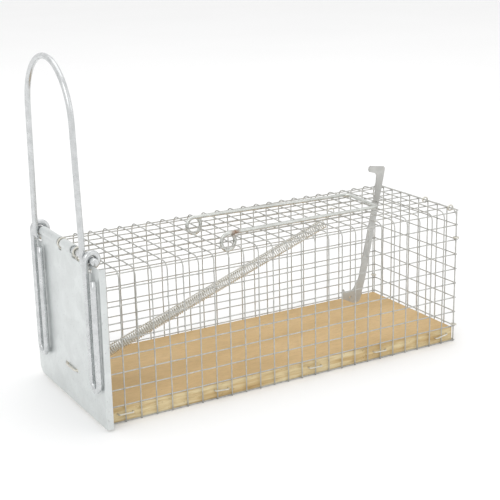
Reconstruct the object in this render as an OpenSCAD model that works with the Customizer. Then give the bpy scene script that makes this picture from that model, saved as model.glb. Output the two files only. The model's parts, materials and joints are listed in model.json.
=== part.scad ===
// Live catch trap: a welded mesh cage on a wooden base, with a spring-loaded drop door,
// a bail handle that doubles as the cocking lever, a trigger bail and a bait hook.
// +X runs from the door to the rear, +Z is up, and the underside of the base is at zero.

/* [Cage] */
// Length of the cage from its front wire to its rear wire
cage_length = 317.5; // [240:0.5:420]
// Width between the middles of the two side sheets
cage_width = 116.4; // [90:0.1:180]
// Height of the roof wires above the floor
cage_height = 115.3; // [90:0.1:180]
// Spacing of the welded wires
mesh_pitch = 12.7; // [8:0.1:25]
// Thickness of the mesh wire
mesh_wire_d = 1; // [0.8:0.1:2]
// Radius of the bend where the roof turns down into a side
bend_radius = 6; // [4:0.5:12]
// Height of the lowest lengthwise wire
bottom_row = 0.6; // [0.6:0.1:4]

/* [Base] */
// Thickness of the wooden base
base_thickness = 12.3; // [9:0.1:20]
// Distance of the base's front end behind the front wire
base_set_back = 3.2; // [1:0.1:12]
// Gap between the base and the mesh beside it
base_side_gap = 0.15; // [0.05:0.05:2]

/* [Staples and clips] */
// Thickness of the staple wire
staple_d = 1.2; // [0.8:0.1:2]
// Width of a staple
staple_width = 12; // [8:0.5:16]
// Length of a staple's legs
staple_leg = 9; // [5:0.5:14]
// Height of the staples above the floor
staple_height = 7; // [4:0.5:9]
// Gap between a driven staple leg and its hole
staple_hole_gap = 0.02; // [0.01:0.01:0.1]
// Thickness of the clips that hold the rear sheet
clip_d = 1.3; // [0.8:0.1:2]

/* [Hinge rod] */
// Diameter of the hinge rod
rod_d = 5.6; // [4:0.1:8]
// Length of the hinge rod
rod_length = 116; // [80:0.5:180]
// Distance of the rod in front of the front wire
rod_lead = 3.8; // [2:0.1:10]
// Height of the rod above the roof wires
rod_rise = 8.7; // [6:0.1:15]
// Running gap between the rod and the door's knuckles
rod_gap = 0.1; // [0.05:0.05:0.3]
// Thickness of the wire ties that carry the rod
tie_d = 1.4; // [1:0.1:2]

/* [Door] */
// Width of the door
door_width = 136; // [100:0.5:200]
// Height of the door's bottom edge above the floor
door_floor_gap = 1.5; // [0.5:0.1:6]
// Thickness of the door's sheet
sheet_t = 0.8; // [0.5:0.1:1.5]
// Distance of the door's front face in front of the rod's middle
door_lead = 2.4; // [1:0.1:2.7]
// Depth of the folded edges at the door's sides
door_fold = 4.8; // [3:0.1:10]
// Size of the cut-off bottom corner
door_corner_cut = 6; // [2:0.5:12]

/* [Handle] */
// Thickness of the handle wire
handle_d = 4.4; // [3:0.1:6]
// Height of the handle's top above the rod
handle_rise = 137.9; // [100:0.1:180]
// Radius of the handle's arch
handle_arch_r = 43; // [30:0.5:60]
// Distance of the handle's legs inside the middles of the side sheets
handle_inset = 11.4; // [8:0.1:20]
// Gap between the handle's coils and the rod
coil_gap = 0.3; // [0.1:0.05:1]
// Spacing of the two strands of each hairpin
hairpin_pitch = 12.7; // [9:0.1:20]
// Height of the near hairpin's lowest point
near_hairpin_floor = 27.6; // [10:0.1:60]
// Height of the far hairpin's lowest point
far_hairpin_floor = 23; // [10:0.1:60]

/* [Spring] */
// Outside diameter of the spring
spring_od = 8.6; // [6:0.1:12]
// Inside diameter of the tubes that stand for the coil
spring_bore = 6.8; // [4:0.1:10]
// Thickness of the spring wire
spring_wire_d = 1.2; // [0.8:0.1:2]
// Sideways place of the spring
spring_y = -4; // [-6:0.1:3]
// Number, from the rear, of the roof wire that anchors the spring
spring_anchor_wire = 7; // [4:1:10]
// Distance of the spring's axis under its anchor wire
anchor_drop = 6; // [4:0.1:8]
// Distance of the link's eye behind the rod
link_reach = 17; // [12:0.5:30]
// Height of the link's eye above the floor
link_height = 31; // [22:0.5:60]
// Distance between the corners where the link's two legs meet its front bar
link_width = 25.6; // [16:0.1:36]
// Thickness of the link wire
link_d = 1.6; // [1:0.1:2.5]

/* [Trigger bail] */
// Thickness of the trigger wire
trigger_d = 3; // [2:0.1:4]
// Middle radius of the trigger's eyes
trigger_eye_r = 6.5; // [5:0.1:9]
// Number, from the rear, of the roof wire that the trigger turns on
trigger_wire = 16; // [12:1:20]
// Sideways place of the trigger's near eye
near_eye_y = -35; // [-36:0.1:-33]
// Sideways place of the trigger's far eye
far_eye_y = 21.8; // [21.2:0.1:24]
// Distance from the eyes to the crossbar's near corner
near_leg_reach = 151.3; // [120:0.1:170]
// Distance from the eyes to the crossbar's far corner
far_leg_reach = 155.5; // [120:0.1:170]
// Sideways place of the crossbar's near corner
near_corner_y = -18.6; // [-30:0.1:-10]
// Sideways place of the crossbar's far corner
far_corner_y = 29.9; // [15:0.1:35]
// Gap between the resting trigger bail and the roof
trigger_roof_gap = 0.1; // [0.05:0.05:1]

/* [Bait hook] */
// Thickness of the bait hook's sheet
hook_t = 1.2; // [0.8:0.1:2]
// Sideways place of the bait hook
hook_y = 2.5; // [-4:0.1:4]
// Number, from the rear, of the roof wire that the bait hook turns on
hook_wire = 3; // [2:1:6]
// Gap round the pivot wire in the bait hook's hole
hook_hole_gap = 0.1; // [0.05:0.05:0.5]
// Height of the hook's top corner above its pivot
hook_top = 32.1; // [24:0.1:45]
// Depth of the hook's toe below its pivot
hook_drop = 87.6; // [60:0.1:92]

/* [Hidden] */
half_length = cage_length / 2;
half_width = cage_width / 2;
cells_long = round(cage_length / mesh_pitch);
pitch_x = cage_length / cells_long;
// Lengthwise wires sit this far inside the crosswise wires, sunk a little at the welds.
weld_step = 0.9 * mesh_wire_d;
wire_overhang = 0.5;
flat_half = half_width - bend_radius;
bend_floor = cage_height - bend_radius;
roof_rows = floor(flat_half / mesh_pitch + 0.5);
side_rows = floor((bend_floor - bottom_row) / mesh_pitch);
rear_rows = floor((cage_height - bottom_row) / mesh_pitch);
rear_gap = 0.05;
// The rear sheet's outer posts stand just inside the two side sheets at any width.
rear_side_y = half_width - mesh_wire_d - rear_gap;
rear_posts = round(rear_side_y / mesh_pitch + 0.5);
rear_pitch = rear_side_y / (rear_posts - 0.5);
rear_post_x = half_length + mesh_wire_d + rear_gap;
rear_row_x = rear_post_x + weld_step;
wire_floor = 0.1;
wire_lap = 0.05;

rod_x = -half_length - rod_lead;
rod_z = cage_height + rod_rise;
base_front = -half_length + base_set_back;
base_rear = half_length - rear_gap - 0.25;
base_half = half_width - weld_step - mesh_wire_d / 2 - base_side_gap;

door_front = rod_x - door_lead;
knuckle_in = rod_d / 2 + rod_gap;
knuckle_out = knuckle_in + sheet_t;
coil_r = rod_d / 2 + coil_gap + handle_d / 2;
leg_y = half_width - handle_inset;
coil_y = leg_y + handle_d + 0.2;
strand_x = rod_x - coil_r;
coil_room_in = leg_y - handle_d / 2 - 0.8;
coil_room_out = coil_y + handle_d / 2 + 0.6;
shoulder_rise = 12;
arch_z = rod_z + handle_rise - handle_arch_r;
arch_reach = norm([leg_y, arch_z - rod_z - shoulder_rise]);
arch_meet = 180 + atan2(arch_z - rod_z - shoulder_rise, leg_y) - acos(handle_arch_r / arch_reach);
corner_top = rod_z - 2.4;
notch_floor = rod_z - coil_r - handle_d / 2 - 1;
bare_top = rod_z - knuckle_out - tie_d - 0.3;
// The rod's two ties, one in the gap between the knuckles and one on its bare stretch.
tie_gap_y = 0.36 * mesh_pitch;
tie_bare_y = -2 * mesh_pitch;
knuckle_edge = tie_gap_y - 2.7;
bare_edge = -0.155 * cage_width;

anchor_x = half_length - spring_anchor_wire * pitch_x;
eye_x = rod_x + link_reach;
// The link is a triangle: its bar lies on the door's front face, its legs lean inward by
// link_lean, and each leg passes the door's sheet link_step inside the bar's corner.
link_near_y = spring_y - link_width / 2;
link_far_y = spring_y + link_width / 2;
link_slot_z = link_height - 2;
link_bar_x = door_front - link_d / 2 - 0.1;
link_bend_r = 2.6 + link_d / 2;
link_mid_x = eye_x - link_bend_r;
link_lean = atan2(link_width / 2, link_mid_x - link_bar_x)
    - asin(link_bend_r / norm([link_width / 2, link_mid_x - link_bar_x]));
link_tip_x = link_bar_x + link_width / 2 / tan(link_lean);
link_depth = door_front + sheet_t / 2 - link_bar_x;
link_step = link_bend_r / tan((90 - link_lean) / 2)
    - sqrt(pow(link_bend_r, 2) - pow(link_bend_r - link_depth, 2));
slot_half = link_d / 2 + 1.6;
slot_height = link_d + 1;

eye_span = sqrt(pow(anchor_x - eye_x, 2) + pow(cage_height - link_height, 2));
spring_angle = atan2(cage_height - link_height, anchor_x - eye_x) - asin(anchor_drop / eye_span);
spring_run = sqrt(eye_span * eye_span - anchor_drop * anchor_drop);
anchor_loop_r = 3.2;
lower_loop_r = 4.1;
upper_straight = 9;
lower_straight = 8;
half_gap = 0.3;
coil_run = spring_run - upper_straight - lower_straight;

pivot_x = half_length - trigger_wire * pitch_x;
leg_z = cage_height + mesh_wire_d / 2 + trigger_roof_gap + trigger_d / 2;
trigger_bend_r = 5;

hook_x = half_length - hook_wire * pitch_x;

// A straight mesh wire along each axis, eight-sided.
module wire_along_x(length) {
    rotate([0, 90, 0]) cylinder(d = mesh_wire_d, h = length, $fn = 8);
}

module wire_along_y(length) {
    rotate([-90, 0, 0]) cylinder(d = mesh_wire_d, h = length, $fn = 8);
}

module wire_along_z(length) {
    cylinder(d = mesh_wire_d, h = length, $fn = 8);
}

// A wire between two points, twelve-sided, a hair longer so that it joins what it meets.
module bar(a, b, d) {
    run = b - a;
    length = norm(run);
    translate(a)
        rotate([0, acos(run[2] / length), atan2(run[1], run[0])])
            translate([0, 0, -wire_lap])
                cylinder(d = d, h = length + 2 * wire_lap, $fn = 12);
}

// A ball that rounds a corner between two bars, a little proud of them.
module corner(p, d) {
    translate(p) sphere(d = 1.03 * d, $fn = 16);
}

function unit(v) = v / norm(v);

// Where a bend of radius r at b, between straight runs to a and c, starts on the run to a.
function bend_start(a, b, c, r) =
    let (corner_angle = acos(unit(a - b) * unit(c - b)))
    b + unit(a - b) * r / tan(corner_angle / 2);

// A round bend at b between straight runs that come from a and go to c.
module bend(a, b, c, r, d) {
    back = unit(a - b);
    on = unit(c - b);
    corner_angle = acos(back * on);
    middle = b + unit(back + on) * r / sin(corner_angle / 2);
    turn_axis = unit(cross(-back, on));
    spoke = bend_start(a, b, c, r) - middle;
    tilt = acos(turn_axis[2]);
    swing = atan2(turn_axis[1], turn_axis[0]);
    side_x = [cos(swing) * cos(tilt), sin(swing) * cos(tilt), -sin(tilt)];
    side_y = [-sin(swing), cos(swing), 0];
    first = atan2(spoke * side_y, spoke * side_x);
    translate(middle)
        rotate([0, tilt, swing])
            ring_arc(r, d, first, first + 180 - corner_angle);
}

// A bent wire through a list of points, with the same bend radius at each inner one.
module bent_wire(points, r, d) {
    last = len(points) - 1;
    for (i = [0 : last - 1]) {
        from = i == 0 ? points[0] : bend_start(points[i + 1], points[i], points[i - 1], r);
        to = i == last - 1 ? points[last] : bend_start(points[i], points[i + 1], points[i + 2], r);
        bar(from, to, d);
    }
    for (i = [1 : last - 1])
        bend(points[i - 1], points[i], points[i + 1], r, d);
}

// Part of a ring lying flat, from one angle to another.
module ring_arc(r, d, from, to) {
    rotate([0, 0, from])
        rotate_extrude(angle = to - from, $fn = 40)
            translate([r, 0]) circle(d = d, $fn = 12);
}

// The same arc stood up in the XZ plane, with angles from +X towards +Z.
module upright_arc(r, d, from, to) {
    rotate([90, 0, 0]) ring_arc(r, d, from, to);
}

// The same arc stood up in the YZ plane, with angles from +Y towards +Z.
module cross_arc(r, d, from, to) {
    rotate([90, 0, 90]) ring_arc(r, d, from, to);
}

module wooden_base() {
    color("BurlyWood")
        difference() {
            translate([base_front, -base_half, 0])
                cube([base_rear - base_front, 2 * base_half, base_thickness]);
            staple_set(-1, staple_d + 2 * staple_hole_gap);
            staple_set(1, staple_d + 2 * staple_hole_gap);
        }
}

module roof_mesh() {
    color("Silver") {
        for (i = [0 : cells_long])
            translate([-half_length + i * pitch_x, -flat_half, cage_height])
                wire_along_y(2 * flat_half);
        for (side = [-1, 1])
            for (i = [0 : roof_rows - 1])
                translate([
                    -half_length - wire_overhang,
                    side * (i + 0.5) * mesh_pitch,
                    cage_height - weld_step
                ])
                    wire_along_x(cage_length + 2 * wire_overhang);
    }
}

// One side sheet with the bends along its top, drawn for the far side.
module side_sheet() {
    for (i = [0 : cells_long])
        translate([-half_length + i * pitch_x, 0, 0]) {
            translate([0, half_width, wire_floor])
                wire_along_z(bend_floor - wire_floor);
            translate([0, flat_half, bend_floor])
                rotate([90, 0, 90])
                    rotate_extrude(angle = 90, $fn = 32)
                        translate([bend_radius, 0]) circle(d = mesh_wire_d, $fn = 8);
        }
    for (j = [0 : side_rows])
        translate([
            -half_length - wire_overhang,
            half_width - weld_step,
            bottom_row + j * mesh_pitch
        ])
            wire_along_x(cage_length + 2 * wire_overhang);
    translate([
        -half_length - wire_overhang,
        flat_half + (bend_radius - weld_step) * cos(45),
        bend_floor + (bend_radius - weld_step) * sin(45)
    ])
        wire_along_x(cage_length + 2 * wire_overhang);
}

module near_side_mesh() {
    color("Silver") mirror([0, 1, 0]) side_sheet();
}

module far_side_mesh() {
    color("Silver") side_sheet();
}

module rear_mesh() {
    color("Silver") {
        for (side = [-1, 1])
            for (i = [0 : rear_posts - 1])
                translate([rear_post_x, side * (i + 0.5) * rear_pitch, wire_floor])
                    wire_along_z(cage_height - wire_floor);
        for (j = [0 : rear_rows])
            translate([
                rear_row_x,
                -rear_side_y - wire_overhang,
                bottom_row + j * mesh_pitch
            ])
                wire_along_y(2 * rear_side_y + 2 * wire_overhang);
    }
}

// Staples along one edge of the base, each with its crown across an upright wire.
module staple_set(side, d) {
    crown_y = half_width + mesh_wire_d / 2 + staple_d / 2 + 0.05;
    for (x = [
        -half_length + 1.016 * pitch_x,
        -half_length + 7.3 * pitch_x,
        half_length - 11 * pitch_x,
        half_length - 6.03 * pitch_x,
        half_length - pitch_x
    ])
        translate([x, side * crown_y, staple_height]) {
            bar([-staple_width / 2, 0, 0], [staple_width / 2, 0, 0], d);
            for (end = [-1, 1]) {
                corner([end * staple_width / 2, 0, 0], d);
                bar(
                    [end * staple_width / 2, 0, 0],
                    [end * staple_width / 2, -side * staple_leg, 0],
                    d
                );
            }
        }
}

module near_staples() {
    color("LightGrey") staple_set(-1, staple_d);
}

module far_staples() {
    color("LightGrey") staple_set(1, staple_d);
}

// Rings that tie the roof's rear wire to the rear sheet's top wire.
module roof_clips() {
    tie_x = (half_length + rear_row_x) / 2;
    tie_z = (cage_height + bottom_row + rear_rows * mesh_pitch) / 2;
    tie_r = (rear_row_x - half_length) / 2 + mesh_wire_d / 2 + clip_d / 2 + 0.15;
    color("LightGrey")
        for (y = [-3.85 * mesh_pitch, -1.2 * mesh_pitch])
            translate([tie_x, y, tie_z]) upright_arc(tie_r, clip_d, 20, 370);
}

// Rings that tie the rear sheet's outer posts to the side sheets' rear wires.
module corner_clips() {
    tie_x = (half_length + rear_post_x) / 2;
    tie_y = (half_width + rear_side_y) / 2;
    reach = norm([rear_post_x - half_length, half_width - rear_side_y]) / 2;
    tie_r = reach + mesh_wire_d / 2 + clip_d / 2 + 0.15;
    color("LightGrey") {
        translate([tie_x, -tie_y, bottom_row + 7.16 * mesh_pitch]) ring_arc(tie_r, clip_d, -60, 290);
        translate([tie_x, -tie_y, bottom_row + 1.13 * mesh_pitch]) ring_arc(tie_r, clip_d, -60, 290);
        translate([tie_x, tie_y, bottom_row + 2.2 * mesh_pitch]) ring_arc(tie_r, clip_d, 70, 420);
        translate([tie_x, tie_y, bottom_row + 7.16 * mesh_pitch]) ring_arc(tie_r, clip_d, 70, 420);
    }
}

module hinge_rod() {
    color("Gainsboro")
        translate([rod_x, -rod_length / 2, rod_z])
            rotate([-90, 0, 0])
                cylinder(d = rod_d, h = rod_length, $fn = 64);
}

// A closed wire loop round the rod and the cage's front roof wire.
module rod_tie() {
    big_r = rod_d / 2 + tie_d / 2 + 0.03;
    small_r = mesh_wire_d / 2 + tie_d / 2 + 0.03;
    run = norm([rod_lead, rod_rise]);
    lean = atan2(-rod_rise, rod_lead);
    spread = acos((big_r - small_r) / run);
    upright_arc(big_r, tie_d, lean + spread, lean + 360 - spread);
    translate([rod_lead, 0, -rod_rise])
        upright_arc(small_r, tie_d, lean - spread, lean + spread);
    for (side = [-1, 1]) {
        turn = lean + side * spread;
        bar(
            [big_r * cos(turn), 0, big_r * sin(turn)],
            [rod_lead + small_r * cos(turn), 0, -rod_rise + small_r * sin(turn)],
            tie_d
        );
        corner([big_r * cos(turn), 0, big_r * sin(turn)], tie_d);
        corner([rod_lead + small_r * cos(turn), 0, -rod_rise + small_r * sin(turn)], tie_d);
    }
}

module rod_ties() {
    color("LightGrey")
        for (y = [tie_gap_y, tie_bare_y])
            translate([rod_x, y, rod_z]) rod_tie();
}

// A slab of the door's sheet between two heights and two sideways places.
module sheet_slab(y0, y1, z0, z1) {
    translate([door_front, y0, z0]) cube([sheet_t, y1 - y0, z1 - z0]);
}

module door_plate() {
    half_door = door_width / 2;
    color("LightSteelBlue")
        difference() {
            union() {
                sheet_slab(-half_door, half_door, door_floor_gap, notch_floor);
                for (side = [-1, 1]) {
                    sheet_slab(
                        side < 0 ? -half_door : coil_room_out,
                        side < 0 ? -coil_room_out : half_door,
                        notch_floor - 1,
                        corner_top
                    );
                    translate([
                        door_front,
                        side < 0 ? -half_door : half_door - sheet_t,
                        door_floor_gap
                    ])
                        cube([door_fold, sheet_t, corner_top - door_floor_gap]);
                }
                sheet_slab(-coil_room_in, coil_room_in, notch_floor - 1, bare_top);
                sheet_slab(bare_edge, knuckle_edge, bare_top - 1, rod_z);
                sheet_slab(tie_gap_y + 2.7, coil_room_in, bare_top - 1, rod_z);
                translate([rod_x, bare_edge, rod_z])
                    rotate([-90, 0, 0])
                        cylinder(r = knuckle_out, h = knuckle_edge - bare_edge, $fn = 64);
                translate([rod_x, tie_gap_y + 2.7, rod_z])
                    rotate([-90, 0, 0])
                        cylinder(r = knuckle_out, h = coil_room_in - tie_gap_y - 2.7, $fn = 64);
            }
            translate([rod_x, -half_door, rod_z])
                rotate([-90, 0, 0])
                    cylinder(r = knuckle_in, h = door_width, $fn = 64);
            // The far bottom corner is cut off at a slant.
            translate([door_front - 1, half_door, door_floor_gap])
                rotate([45, 0, 0])
                    translate([0, -door_corner_cut, -door_corner_cut])
                        cube([door_fold + 2, 2 * door_corner_cut, door_corner_cut * (1 + sqrt(0.5))]);
            // Slots for the link's two legs.
            for (y = [link_near_y + link_step, link_far_y - link_step])
                translate([door_front - 1, y - slot_half, link_slot_z - slot_height / 2])
                    cube([sheet_t + 2, 2 * slot_half, slot_height]);
        }
}

// A closed triangle of wire: a bar across the door's front, two legs through the slots
// and a rounded eye behind.
module spring_link() {
    near = [link_bar_x, link_near_y, link_slot_z];
    far = [link_bar_x, link_far_y, link_slot_z];
    tip = [link_tip_x, spring_y, link_height];
    middle = (near + far) / 2;
    color("LightGrey")
        bent_wire([middle, near, tip, far, middle], link_bend_r, link_d);
}

// One leg of the handle with its coil and hairpin; side -1 is near and 1 is far.
module handle_leg(side, out_y, return_y, floor_z) {
    turn_r = abs(out_y - return_y) / 2;
    turn_z = floor_z + handle_d / 2 + turn_r;
    rear_y = (leg_y + abs(out_y)) / 2;
    shoulder = [strand_x, side * leg_y, rod_z + shoulder_rise];
    meet_point = [
        strand_x,
        -side * handle_arch_r * cos(arch_meet),
        arch_z + handle_arch_r * sin(arch_meet)
    ];
    bent_wire([[strand_x, side * leg_y, rod_z], shoulder, meet_point], 40, handle_d);
    // The coil is two half rings, each a little skewed, so that the wire steps outward.
    half_coil([strand_x, side * leg_y], [rod_x + coil_r, side * rear_y], true);
    half_coil([rod_x + coil_r, side * rear_y], [strand_x, out_y], false);
    bar([strand_x, out_y, rod_z], [strand_x, out_y, turn_z], handle_d);
    translate([strand_x, (out_y + return_y) / 2, turn_z])
        cross_arc(turn_r, handle_d, 180, 360);
    bar([strand_x, return_y, turn_z], [strand_x, return_y, notch_floor - 2], handle_d);
}

// Half a ring from point a to point b at the rod's height, under the rod or over it.
module half_coil(a, b, under) {
    run = b - a;
    translate([(a[0] + b[0]) / 2, (a[1] + b[1]) / 2, rod_z])
        rotate([0, 0, atan2(run[1], run[0])])
            upright_arc(norm(run) / 2, handle_d, under ? 180 : 0, under ? 360 : 180);
}

module handle() {
    color("Gainsboro") {
        translate([strand_x, 0, arch_z])
            cross_arc(handle_arch_r, handle_d, 180 - arch_meet, arch_meet);
        handle_leg(-1, -coil_y, -coil_y - hairpin_pitch, near_hairpin_floor);
        handle_leg(1, coil_y + 1.6, coil_y + 1.6 - hairpin_pitch, far_hairpin_floor);
    }
}

// Places its children along the spring, with +X running up it from the link's eye.
module along_spring() {
    translate([eye_x - link_d / 2, spring_y, link_height])
        rotate([0, -spring_angle, 0])
            children();
}

module coil_tube(from, to, closed_at_start) {
    difference() {
        translate([from, 0, 0])
            rotate([0, 90, 0]) cylinder(d = spring_od, h = to - from, $fn = 64);
        translate([from + (closed_at_start ? spring_wire_d : -1), 0, 0])
            rotate([0, 90, 0])
                cylinder(d = spring_bore, h = to - from + 1 - spring_wire_d, $fn = 64);
    }
}

module spring_upper_half() {
    start = lower_straight + coil_run / 2 + half_gap / 2;
    end = lower_straight + coil_run;
    color("DarkGrey")
        along_spring() {
            coil_tube(start, end, false);
            bar(
                [end - spring_wire_d, 0, anchor_drop - anchor_loop_r],
                [spring_run, 0, anchor_drop - anchor_loop_r],
                spring_wire_d
            );
            translate([spring_run, 0, anchor_drop])
                upright_arc(anchor_loop_r, spring_wire_d, -90, 230);
        }
}

module spring_lower_half() {
    end = lower_straight + coil_run / 2 - half_gap / 2;
    shank = (lower_straight + spring_wire_d / 2 - lower_loop_r * cos(60)) / sin(60);
    color("DarkGrey")
        along_spring() {
            coil_tube(lower_straight, end, true);
            // The hook comes over the eye and ends in front of it, open below.
            upright_arc(lower_loop_r, spring_wire_d, 60, 180);
            bar(
                [lower_loop_r * cos(60), 0, lower_loop_r * sin(60)],
                [
                    lower_loop_r * cos(60) + shank * sin(60),
                    0,
                    lower_loop_r * sin(60) - shank * cos(60)
                ],
                spring_wire_d
            );
        }
}

// The angle, in an eye's own plane, at which its leg to a corner leaves it.
function leave_angle(run) =
    atan2(leg_z - cage_height, run) + acos(trigger_eye_r / norm([run, leg_z - cage_height]));

// The point at which the leg to a corner leaves its eye.
function leave_point(eye_y, end) =
    let (
        run = norm([end[0] - pivot_x, end[1] - eye_y]),
        heading = atan2(end[1] - eye_y, end[0] - pivot_x),
        turn = leave_angle(run)
    )
    [
        pivot_x + trigger_eye_r * cos(turn) * cos(heading),
        eye_y + trigger_eye_r * cos(turn) * sin(heading),
        cage_height + trigger_eye_r * sin(turn)
    ];

module trigger_eye(eye_y, end) {
    run = norm([end[0] - pivot_x, end[1] - eye_y]);
    turn = leave_angle(run);
    translate([pivot_x, eye_y, cage_height])
        rotate([0, 0, atan2(end[1] - eye_y, end[0] - pivot_x)])
            upright_arc(trigger_eye_r, trigger_d, turn, turn + 298);
}

module trigger_bail() {
    near_corner = [pivot_x + near_leg_reach, near_corner_y, leg_z];
    far_corner = [pivot_x + far_leg_reach, far_corner_y, leg_z];
    color("Gainsboro") {
        trigger_eye(near_eye_y, near_corner);
        trigger_eye(far_eye_y, far_corner);
        bent_wire(
            [
                leave_point(near_eye_y, near_corner),
                near_corner,
                far_corner,
                leave_point(far_eye_y, far_corner)
            ],
            trigger_bend_r,
            trigger_d
        );
    }
}

// A flat strip with a beak at the top that catches the trigger and a barbed toe for the bait.
module bait_hook() {
    outline = [
        [-7.4, hook_top],
        [9, hook_top - 2.4],
        [8.4, hook_top - 6.8],
        [3.2, 0.5],
        [-10.6, -hook_drop + 22],
        [-16.4, -hook_drop + 1.6],
        [-21.8, -hook_drop],
        [-34.4, -hook_drop + 6.4],
        [-33.3, -hook_drop + 15.6],
        [-31.2, -hook_drop + 10.8],
        [-23.4, -hook_drop + 12.8],
        [-17.6, -hook_drop + 22],
        [-3, 0.5],
        [-1.3, 5.6],
        [0.4, hook_top - 7.6],
        [-8.4, hook_top - 4.8]
    ];
    color("Gainsboro")
        translate([hook_x, hook_y + hook_t / 2, cage_height])
            rotate([90, 0, 0])
                linear_extrude(hook_t)
                    difference() {
                        polygon(outline);
                        circle(d = mesh_wire_d + 2 * hook_hole_gap, $fn = 32);
                        translate([-26.2, -hook_drop + 6.4]) circle(d = 2.4, $fn = 32);
                    }
}

wooden_base();
roof_mesh();
near_side_mesh();
far_side_mesh();
rear_mesh();
near_staples();
far_staples();
roof_clips();
corner_clips();
hinge_rod();
rod_ties();
door_plate();
handle();
spring_link();
spring_upper_half();
spring_lower_half();
trigger_bail();
bait_hook();
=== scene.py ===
import json
import math
import bpy
import bmesh
import numpy as np
from mathutils import Matrix, Vector


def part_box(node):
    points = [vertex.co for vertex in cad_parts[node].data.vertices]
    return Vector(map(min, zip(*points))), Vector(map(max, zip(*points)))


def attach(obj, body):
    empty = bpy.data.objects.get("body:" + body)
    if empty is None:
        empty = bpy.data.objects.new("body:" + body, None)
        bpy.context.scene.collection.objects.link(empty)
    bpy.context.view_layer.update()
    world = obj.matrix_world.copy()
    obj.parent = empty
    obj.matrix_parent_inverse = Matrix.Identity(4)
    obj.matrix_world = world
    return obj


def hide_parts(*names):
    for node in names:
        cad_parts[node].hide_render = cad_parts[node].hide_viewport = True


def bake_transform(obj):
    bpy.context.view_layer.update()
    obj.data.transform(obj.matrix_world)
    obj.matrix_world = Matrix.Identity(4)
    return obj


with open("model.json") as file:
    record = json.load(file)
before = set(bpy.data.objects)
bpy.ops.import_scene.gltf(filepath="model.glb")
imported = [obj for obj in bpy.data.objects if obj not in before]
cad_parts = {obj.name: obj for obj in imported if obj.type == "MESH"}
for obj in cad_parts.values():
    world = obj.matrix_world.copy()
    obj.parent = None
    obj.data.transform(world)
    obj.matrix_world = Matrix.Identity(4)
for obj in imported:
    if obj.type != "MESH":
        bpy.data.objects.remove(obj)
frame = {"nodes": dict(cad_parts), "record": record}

rng = np.random.default_rng(7)
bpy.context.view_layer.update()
MM = 0.001


# ---------------------------------------------------------------- mesh helpers

def new_object(name, verts, faces, materials, face_slots=None, smooth=True):
    mesh = bpy.data.meshes.new(name)
    mesh.from_pydata([tuple(v) for v in verts], [], [tuple(f) for f in faces])
    for m in materials:
        mesh.materials.append(m)
    if face_slots is not None:
        mesh.polygons.foreach_set("material_index", np.array(face_slots, np.int32))
    mesh.polygons.foreach_set("use_smooth", np.full(len(mesh.polygons), smooth, bool))
    mesh.update()
    obj = bpy.data.objects.new(name, mesh)
    bpy.context.scene.collection.objects.link(obj)
    return obj


class Build:
    """Gathers the vertices and faces of one piece, in millimetres."""

    def __init__(self):
        self.v, self.f, self.s, self.n = [], [], [], 0

    def add(self, verts, faces, slot=0):
        self.v.append(np.asarray(verts, float))
        self.f += [tuple(int(i) + self.n for i in f) for f in faces]
        self.s += [slot] * len(faces)
        self.n += len(verts)

    def tube(self, points, r, sides=12, closed=False, slot=0):
        """A round wire along the points; r is one radius or one for each point."""
        p = np.asarray(points, float)
        keep = [0]
        for i in range(1, len(p)):
            if np.linalg.norm(p[i] - p[keep[-1]]) > 1e-4:
                keep.append(i)
        p = p[keep]
        n = len(p)
        radius = np.full(n, float(r)) if np.ndim(r) == 0 else np.asarray(r)[keep]
        t = np.zeros_like(p)
        t[1:-1] = p[2:] - p[:-2]
        t[0], t[-1] = p[1] - p[0], p[-1] - p[-2]
        if closed:
            t[0] = t[-1] = p[1] - p[-2]
        t /= np.linalg.norm(t, axis=1)[:, None]
        side = np.cross(t[0], [0.0, 0.0, 1.0])
        if np.linalg.norm(side) < 0.1:
            side = np.cross(t[0], [0.0, 1.0, 0.0])
        rings = []
        angle = np.arange(sides) * 2 * math.pi / sides
        for i in range(n):
            side = side - t[i] * (side @ t[i])
            side /= np.linalg.norm(side)
            up = np.cross(t[i], side)
            rings.append(p[i] + radius[i] * (np.cos(angle)[:, None] * side + np.sin(angle)[:, None] * up))
        verts = np.concatenate(rings)
        faces = []
        for i in range(n - 1):
            a, b = i * sides, (i + 1) * sides
            for k in range(sides):
                m = (k + 1) % sides
                faces.append((a + k, a + m, b + m, b + k))
        if not closed:
            faces.append(tuple(range(sides - 1, -1, -1)))
            faces.append(tuple((n - 1) * sides + k for k in range(sides)))
        self.add(verts, faces, slot)

    def blob(self, centre, size, slot=0):
        """A small weld nugget."""
        rows, cols = 4, 6
        verts = [(0, 0, 1)]
        for i in range(1, rows):
            a = math.pi * i / rows
            for k in range(cols):
                b = 2 * math.pi * k / cols
                verts.append((math.sin(a) * math.cos(b), math.sin(a) * math.sin(b), math.cos(a)))
        verts.append((0, 0, -1))
        faces = [(0, 1 + k, 1 + (k + 1) % cols) for k in range(cols)]
        for i in range(rows - 2):
            for k in range(cols):
                a, b = 1 + i * cols, 1 + (i + 1) * cols
                faces.append((a + k, b + k, b + (k + 1) % cols, a + (k + 1) % cols))
        last = len(verts) - 1
        faces += [(last, last - cols + (k + 1) % cols, last - cols + k) for k in range(cols)]
        self.add(np.array(verts) * size + np.array(centre), faces, slot)

    def make(self, name, materials, smooth=True):
        return new_object(name, np.concatenate(self.v) * MM, self.f, materials, self.s, smooth)


def arc(centre, r, first, last, plane, step=10):
    """Points on an arc; angles in degrees from the plane's first axis to its second."""
    n = max(3, int(abs(last - first) / step) + 1)
    a = np.radians(np.linspace(first, last, n))
    out = np.tile(np.asarray(centre, float), (n, 1))
    i, j = {"xy": (0, 1), "xz": (0, 2), "yz": (1, 2)}[plane]
    out[:, i] += r * np.cos(a)
    out[:, j] += r * np.sin(a)
    return out


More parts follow.
